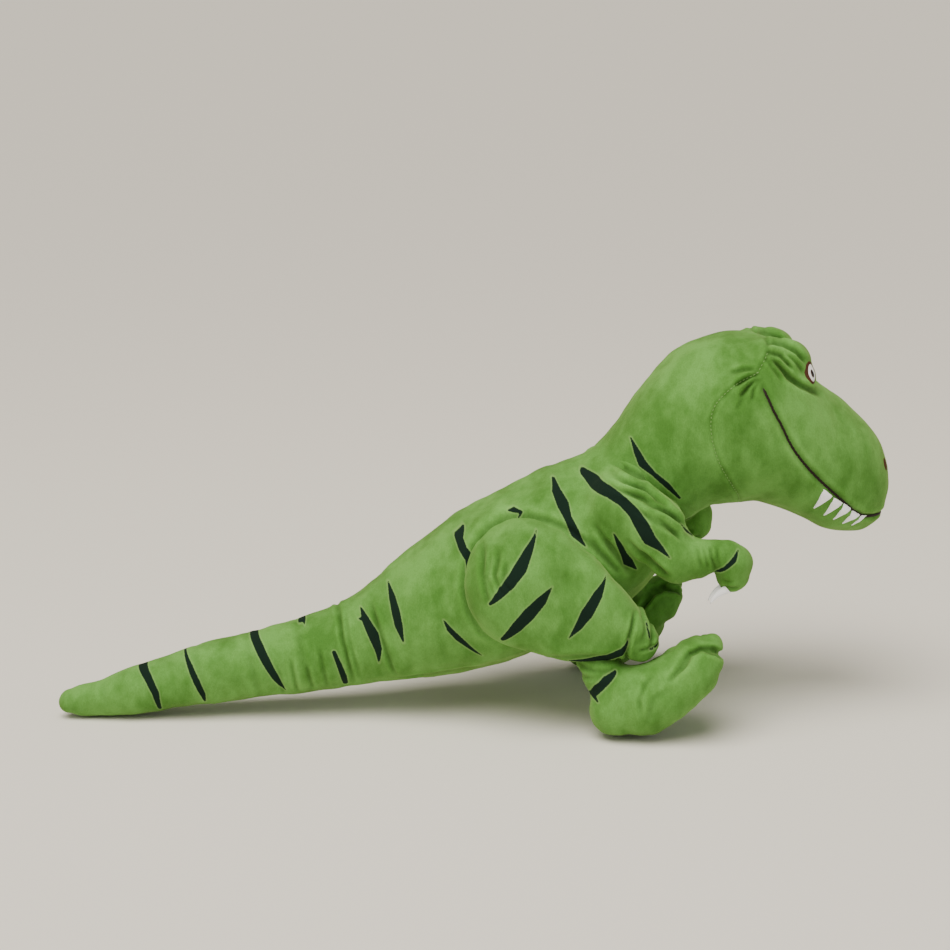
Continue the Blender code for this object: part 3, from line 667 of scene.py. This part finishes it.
# Polyester embroidery thread: a soft silky gloss from rows of fine parallel stitches.
def thread(name, colour):
    made, tree, shader = principled(name, colour, 0.6, Specular_IOR_Level=0.25)
    place = node(tree, "ShaderNodeTexCoord").outputs["Object"]
    # Threads are 0.4 mm across, drawn at 0.75 mm so that they show.
    rows = node(tree, "ShaderNodeTexWave", [("Vector", place), ("Scale", 420.0), ("Distortion", 1.5),
                                            ("Detail", 2.0)], bands_direction="Z")
    bump = node(tree, "ShaderNodeBump", [("Height", rows.outputs["Fac"]), ("Strength", 0.4),
                                         ("Distance", 0.0003)])
    tree.links.new(bump.outputs["Normal"], shader.inputs["Normal"])
    return made


white_thread = thread("white_embroidery", "#f2f0ee")
dark_thread = thread("black_embroidery", "#1c1a1c")
brown_thread = thread("brown_embroidery", "#4a2715")

# Layers of the left eye from the cloth up, mirrored on the right: middle, half width, half
# height and rise (metres), and thread.
EYE_PLACE = (0.3507, 0.0545, 0.379)
GAZE_PLACE = (0.3505, 0.0548, 0.3785)
EYE_LAYERS = [
    ("eye_rim", EYE_PLACE, 0.0086, 0.0130, 0.0014, brown_thread),
    ("eye_white", EYE_PLACE, 0.0064, 0.0110, 0.0018, white_thread),
    ("eye_ring", GAZE_PLACE, 0.0033, 0.0066, 0.0022, brown_thread),
    ("eye_pupil", GAZE_PLACE, 0.0023, 0.0053, 0.0026, dark_thread),
]
for side, sign in (("right", -1), ("left", 1)):
    outlook = (0.79, sign * 0.61, 0.0)
    for label, (x, y, z), wide, tall, rise, colour in EYE_LAYERS:
        layer = shallow_disc(f"{label}_{side}", (x, sign * y, z), outlook, wide, tall, rise, colour)
        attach(layer, "head")
        if label == "eye_white":
            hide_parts(f"eye_{side}")
    nostril = shallow_disc(f"nostril_{side}", (0.443, sign * 0.034, 0.273), (0.86, sign * 0.5, 0.1),
                           0.0034, 0.0072, 0.0012, brown_thread, lean=0.15 * sign)
    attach(nostril, "head")

# --- Mouth, teeth and claws ------------------------------------------------------------
# The mouth is a line of dark satin stitch in its groove. The teeth are points of white felt
# tucked under it, and each hand has two small claws of the same felt.


def even_path(path, pitch):
    """Places about a pitch apart on a smooth side-view path (mm)."""
    fine = smooth_rows(path, 12)
    run = np.concatenate([[0], np.cumsum(np.linalg.norm(np.diff(fine, axis=0), axis=1))])
    at = np.linspace(0, run[-1], max(2, round(run[-1] / pitch) + 1))
    return np.stack([np.interp(at, run, fine[:, i]) for i in range(fine.shape[1])], axis=1)


def on_side(sign, x, z):
    """Place and normal on the head's side, at side-view millimetres; None beside the head."""
    start = Vector((x * MM, sign * 0.3, z * MM))
    hit, normal, _, _ = head_tree.ray_cast(start, Vector((0, -sign, 0)))
    return (hit, normal) if hit else None


def satin(name, spots, half, rise, material):
    """A rounded line of thread along spots on a cover, each a place and a normal."""
    across = 9              # corners across the line
    tuck = 0.0003           # how far its edges go into the cloth, metres
    last = len(spots) - 1
    verts, faces = [], []
    for i, (spot, normal) in enumerate(spots):
        way = (spots[min(i + 1, last)][0] - spots[max(i - 1, 0)][0]).normalized()
        sideways = way.cross(normal).normalized()
        taper = min(1, 0.35 + i / 4, 0.35 + (last - i) / 4)
        for c in range(across):
            a = math.pi * c / (across - 1)
            verts.append(spot + sideways * math.cos(a) * half * taper
                         + normal * (math.sin(a) * rise * taper - tuck))
    for i in range(last):
        for c in range(across - 1):
            k = i * across + c
            faces.append((k, k + across, k + across + 1, k + 1))
    return new_piece(name, verts, faces, material)


# Needle felt: matt, its matted hairs giving a faint grain. A faint painted glow, an emission,
# keeps it bright in the toy's own shade. The hairs show as tangles 1 mm across.
felt, tree, shader = principled("white_felt", "#fbfafc", 0.95, Sheen_Weight=0.2,
                                Specular_IOR_Level=0.15, Emission_Color=srgb("#f4f6ff"),
                                Emission_Strength=0.12)
place = node(tree, "ShaderNodeTexCoord").outputs["Object"]
hair = node(tree, "ShaderNodeTexNoise", [("Vector", place), ("Scale", 900.0), ("Detail", 3.0)])
grain = node(tree, "ShaderNodeBump", [("Height", hair.outputs["Fac"]), ("Strength", 0.3),
                                      ("Distance", 0.0004)])
tree.links.new(grain.outputs["Normal"], shader.inputs["Normal"])

# Teeth in side view (mm): the base's back and front corners, and the tip.
TEETH = [
    ((366, 256), (378, 246), (359, 228)), ((379, 245), (391, 237), (371, 219)),
    ((392, 237), (402, 229), (382, 214)), ((403, 228), (414, 220), (394, 208)),
    ((415, 220), (423, 219), (405, 205)),
]


def tooth(name, sign, corners, rows=9):
    """A felt triangle that lies on the head and thins towards its edges."""
    thick, tuck = 0.0016, 0.0002        # metres
    verts, faces, first = [], [], []
    for r in range(rows + 1):
        first.append(len(verts))
        for c in range(r + 1):
            tip, behind, ahead = 1 - r / rows, (r - c) / rows, c / rows
            shares = (behind, ahead, tip)
            x, z = (sum(w * corner[i] for w, corner in zip(shares, corners)) for i in (0, 1))
            spot, normal = on_side(sign, x, z)
            inside = min(1, 5 * min(behind, ahead))
            verts.append(spot + normal * (thick * math.sqrt(inside) - tuck))
    for r in range(rows):
        for c in range(r + 1):
            a, b = first[r] + c, first[r + 1] + c
            faces.append((a, b, b + 1) if sign < 0 else (a, b + 1, b))
            if c < r:
                faces.append((a, b + 1, a + 1) if sign < 0 else (a, a + 1, b + 1))
    return new_piece(name, verts, faces, felt)


def claw(name, root, tip, radius, rings=10, columns=16):
    """A bent felt point from its root to its tip."""
    fullness = 0.65         # 1 would make a straight-sided cone; less is blunter
    root, tip = Vector(root), Vector(tip)
    way = (tip - root).normalized()
    up = Vector((0, 1, 0)).cross(way).normalized()
    verts, faces = [], []
    for r in range(rings):
        share = r / rings
        centre = root.lerp(tip, share) + up * radius * 0.5 * math.sin(math.pi * share)
        size = radius * (1 - share) ** fullness
        for c in range(columns):
            a = 2 * math.pi * c / columns
            verts.append(centre + (up * math.cos(a) + Vector((0, 0.75, 0)) * math.sin(a)) * size)
    verts.append(tip)
    for r in range(rings - 1):
        for c in range(columns):
            k = (c + 1) % columns
            faces.append((r * columns + c, r * columns + k, (r + 1) * columns + k, (r + 1) * columns + c))
    last = (rings - 1) * columns
    faces += [(last + c, last + (c + 1) % columns, len(verts) - 1) for c in range(columns)]
    return new_piece(name, verts, faces, felt)


lip_thread = thread("dark_brown_embroidery", "#1f1009")
snout = Vector((0.400, 0, 0.217))       # inside the snout, level with the front of the mouth
for side, sign in (("right", -1), ("left", 1)):
    spots = [on_side(sign, x, z) for x, z in even_path(MOUTH[1:], 1.5)]
    # The line goes on round the snout to the head's middle, where the two sides meet.
    for angle in range(48, -1, -4):
        way = Vector((math.cos(math.radians(angle)), sign * math.sin(math.radians(angle)), 0))
        hit, normal, _, _ = head_tree.ray_cast(snout, way)
        if hit.x > spots[-1][0].x + 0.001:
            spots.append((hit, normal))
    line = satin(f"mouth_stitch_{side}", spots, 0.0018, 0.0010, lip_thread)
    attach(line, "head")
    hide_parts(f"mouth_line_{side}")
    for number, corners in enumerate(TEETH, 1):
        piece = tooth(f"felt_tooth_{number}_{side}", sign, corners)
        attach(piece, "head")
        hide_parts(f"tooth_{number}_{side}")
    for label, out in (("inner", 0.104), ("outer", 0.115)):
        piece = claw(f"felt_claw_{label}_{side}", root=(0.257, sign * out, 0.160),
                     tip=(0.238, sign * out, 0.144), radius=0.0050)
        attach(piece, f"hand_{side}")
        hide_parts(f"claw_{label}_{side}")

# --- Seam stitches of the head ---------------------------------------------------------
# Green polyester thread: short running stitches sunk in the cheek and crown seams, laid by
# Geometry Nodes along each seam and then made plain.


def stitch_tree():
    """Node group that lays stitches along the edges of a path."""
    group = bpy.data.node_groups.new("running_stitch", "GeometryNodeTree")
    face = group.interface
    face.new_socket("Geometry", in_out="INPUT", socket_type="NodeSocketGeometry")
    for label, value in (("Pitch", 0.0042), ("Length", 0.0027), ("Width", 0.0008)):
        face.new_socket(label, in_out="INPUT", socket_type="NodeSocketFloat").default_value = value
    face.new_socket("Seed", in_out="INPUT", socket_type="NodeSocketInt").default_value = 1
    face.new_socket("Material", in_out="INPUT", socket_type="NodeSocketMaterial")
    face.new_socket("Geometry", in_out="OUTPUT", socket_type="NodeSocketGeometry")
    given = node(group, "NodeGroupInput").outputs
    curve = node(group, "GeometryNodeMeshToCurve", [("Mesh", given["Geometry"])])
    spaced = node(group, "GeometryNodeResampleCurve", [("Curve", curve.outputs[0]),
                                                       ("Length", given["Pitch"])], mode="LENGTH")
    bead = node(group, "GeometryNodeMeshUVSphere", [("Segments", 8), ("Rings", 6), ("Radius", 0.5)])
    # Stitches are 0.8 to 1.15 times as long as the length given.
    vary = node(group, "FunctionNodeRandomValue", [("Seed", given["Seed"]), (2, 0.8), (3, 1.15)],
                data_type="FLOAT")
    long = node(group, "ShaderNodeMath", [(0, given["Length"]), (1, vary.outputs[1])],
                operation="MULTIPLY")
    size = node(group, "ShaderNodeCombineXYZ", [("X", given["Width"]), ("Y", given["Width"]),
                                                ("Z", long.outputs[0])])
    way = node(group, "GeometryNodeInputTangent")
    turned = node(group, "FunctionNodeAlignRotationToVector", [("Vector", way.outputs[0])], axis="Z")
    laid = node(group, "GeometryNodeInstanceOnPoints", [("Points", spaced.outputs[0]),
                                                        ("Instance", bead.outputs[0]),
                                                        ("Rotation", turned.outputs[0]),
                                                        ("Scale", size.outputs[0])])
    real = node(group, "GeometryNodeRealizeInstances", [("Geometry", laid.outputs[0])])
    dressed = node(group, "GeometryNodeSetMaterial", [("Geometry", real.outputs[0]),
                                                      ("Material", given["Material"])])
    node(group, "NodeGroupOutput", [("Geometry", dressed.outputs[0])])
    return group


running_stitch = stitch_tree()
seam_thread = thread("green_polyester_thread", "#7da45c")


def stitched(name, spots, seed):
    """A plain mesh of stitches along places on a cover."""
    path = bpy.data.meshes.new(name)
    path.from_pydata([tuple(spot + normal * 0.0002) for spot, normal in spots],
                     [(i, i + 1) for i in range(len(spots) - 1)], [])
    made = bpy.data.objects.new(name, path)
    bpy.context.scene.collection.objects.link(made)
    layer = made.modifiers.new("running_stitch", "NODES")
    layer.node_group = running_stitch
    sockets = running_stitch.interface.items_tree
    socket = {item.name: item.identifier for item in sockets if item.in_out == "INPUT"}
    layer[socket["Seed"]] = seed
    layer[socket["Material"]] = seam_thread
    bpy.context.view_layer.update()
    ready = made.evaluated_get(bpy.context.evaluated_depsgraph_get())
    plain = bpy.data.meshes.new_from_object(ready)
    made.modifiers.remove(layer)
    made.data = plain
    return made


for side, sign in (("right", -1), ("left", 1)):
    for number, path in enumerate((CHEEK_SEAM, CROWN_SEAM[1:])):
        spots = [on_side(sign, x, z) for x, z in even_path(path, 2.0)]
        piece = stitched(f"head_stitches_{number + 1}_{side}", [s for s in spots if s], 5 + number)
        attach(piece, "head")

# --- Legs ------------------------------------------------------------------------------
# Each haunch is a stuffed cushion sewn on the body's side. The shank and the foot are one
# stuffed piece whose top is tucked under the haunch.

# Rounds of the haunch in side view: x, z, radius and bulge (mm).
HAUNCH = [(52, 159, 69, 38), (92, 138, 60, 37), (153, 110, 30, 33), (166, 100, 21, 28)]
KNEE_OUT = 98       # how far from the toy's middle the cushion lies at the knee, mm
SUNK = 8            # how far the cushion is sunk in the body's side, mm
SQUARENESS = 2.8    # 2 would make the cushion's edge round; more is fuller


def haunch_shape(x, y, z):
    """Distance to the haunch: a cushion that lies on the body's side and stands out at the knee."""
    along, gap = nearest_on(x, z, HAUNCH)
    size = read_rows(np.array(HAUNCH, float), along)
    off, bulge = gap / size[..., 2], size[..., 3]
    place, drop = nearest_on(x, z, spine)
    girth = read_rows(spine, place)
    above = drop * (z > girth[..., 1])
    flank = girth[..., 3] * np.sqrt(np.maximum(1 - (above / girth[..., 2]) ** 2, 0.12)) - SUNK
    tuck = np.clip((along - 0.35) / 1.5, 0, 1)
    tuck = tuck * tuck * (3 - 2 * tuck)
    seat = flank * (1 - tuck) + KNEE_OUT * tuck
    lift = np.abs(np.abs(y) - seat) / bulge
    return ((off ** SQUARENESS + lift ** SQUARENESS) ** (1 / SQUARENESS) - 1) * bulge * 0.85


# Left shank, foot and toes from the outer one in, mirrored on the right: balls along each, x, y,
# z and radius (mm).
SHANK = [(118, 86, 86, 20), (128, 106, 66, 21), (148, 118, 49, 27)]
FOOT = [(141, 118, 32, 29), (168, 119, 41, 36), (199, 121, 58, 33)]
TOES = [
    [(194, 134, 48, 25), (222, 139, 74, 21), (236, 140, 87, 14)],
    [(196, 120, 62, 26), (225, 121, 88, 20), (240, 120, 101, 12)],
    [(198, 105, 62, 25), (226, 103, 82, 19), (237, 102, 92, 13)],
]


def foot_shape(x, y, z):
    """Distance to the shank and foot, flat underneath where they rest on the floor."""
    side = np.abs(y)
    found = join(chain(x, side, z, SHANK, soft=8), chain(x, side, z, FOOT, soft=6), soft=10)
    outer, second, inner = (chain(x, side, z, toe, soft=6) for toe in TOES)
    toes = join(join(outer, second, soft=3), inner, soft=3)
    found = join(found, toes, soft=5)
    return trim(found, -z + 0 * found, soft=10)


# Folds and seams of the right leg, mirrored on the left: path, depth and half width (mm).
HAUNCH_CREASES = [
    ([(158, 141), (154, 128), (150, 113), (148, 96), (152, 78)], 3.6, 2.2),
    ([(4, 206), (-1, 178), (5, 149)], 2.6, 2.6), ([(18, 203), (11, 178), (18, 160)], 2.4, 2.4),
    ([(10, 199), (4, 176), (11, 154)], 2.0, 2.2), ([(25, 192), (19, 173), (27, 162)], 1.8, 2.2),
    ([(175, 134), (177, 116), (174, 97)], 2.2, 2.4), ([(161, 98), (173, 101), (188, 103)], 1.8, 2.2),
    ([(166, 140), (168, 124), (164, 108)], 1.4, 2.4), ([(60, 86), (101, 92), (141, 90)], 1.6, 4),
]
FOOT_CREASES = [
    ([(90, 80), (113, 76), (143, 78)], 1.8, 2.8), ([(100, 66), (118, 70), (134, 75)], 1.4, 2.8),
    ([(160, 34), (159, 53), (165, 67), (175, 76)], 1.5, 2.2), ([(166, 25), (174, 54), (195, 68)], 0.9, 3),
    ([(188, 70), (202, 84), (214, 97), (226, 102), (240, 100), (250, 92)], 4.4, 2.2),
]

# Dyed stripes of the right leg, mirrored on the left: x, z, half width along each (mm).
HAUNCH_STRIPES = [
    [(57, 221, 0.6), (48, 205, 4), (38, 187, 6.4), (26, 171, 5.6), (15, 159, 4), (6, 149, 1.6)],
    [(70, 169, 0.6), (59, 154, 5.5), (46, 139, 7), (33, 124, 6), (20, 109, 2.6)],
    [(128, 176, 0.6), (118, 160, 5), (106, 141, 6.4), (97, 126, 4), (88, 114, 0.8)],
    [(150, 112, 0.6), (144, 99, 4), (128, 90, 5), (109, 86, 3.6), (90, 85, 0.8)],
    [(170, 127, 1.1), (173, 112, 1.1)], [(174, 99, 1.2), (184, 102, 1.2)],
]
ANKLE_STRIPE = [[(137, 76, 1.5), (127, 68, 4.2), (119, 59, 4.4), (114, 50, 3), (118, 45, 1)]]


def leg_cover(name, shape, low, high, sign, creases, uneven, stripes):
    """A closed cover of one leg piece; low and high (mm) bound the left one.

    uneven has a row for each size of lump: height and wavelength (mm), and seed.
    """
    near, far = sorted((sign * low[1], sign * high[1]))
    points, quads = cover(shape, (low[0], near, low[2]), (high[0], far, high[2]))
    folds = folds_on(points, creases)
    relief = folds
    for height, wavelength, seed in uneven:
        relief = relief + height * lumps(points * (1, -sign, 1), wavelength, seed)
    points = points + normals_of(points, quads) * relief[:, None]
    points[:, 2] = np.maximum(points[:, 2], 0.2)        # it rests on the floor
    return sewn(name, points, quads, normals_of(points, quads), np.ones(len(quads), bool), green,
                stripe=stripes_on(points, stripes), fold=folds)


for side, sign in (("right", -1), ("left", 1)):
    haunch = leg_cover(f"haunch_cover_{side}", haunch_shape, (-34, 20, 66), (206, 146, 256), sign,
                       HAUNCH_CREASES, ((1.2, 58, 11), (0.4, 22, 12)), HAUNCH_STRIPES)
    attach(haunch, f"leg_{side}")
    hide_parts(f"thigh_skin_{side}", f"thigh_filling_{side}")
    foot = leg_cover(f"foot_cover_{side}", foot_shape, (78, 76, -8), (276, 164, 124), sign,
                     FOOT_CREASES, ((0.8, 46, 13), (0.4, 20, 14)), ANKLE_STRIPE)
    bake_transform(foot)
    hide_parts(f"shank_skin_{side}", f"shank_filling_{side}", f"foot_skin_{side}",
                f"foot_filling_{side}", f"foot_sole_{side}")
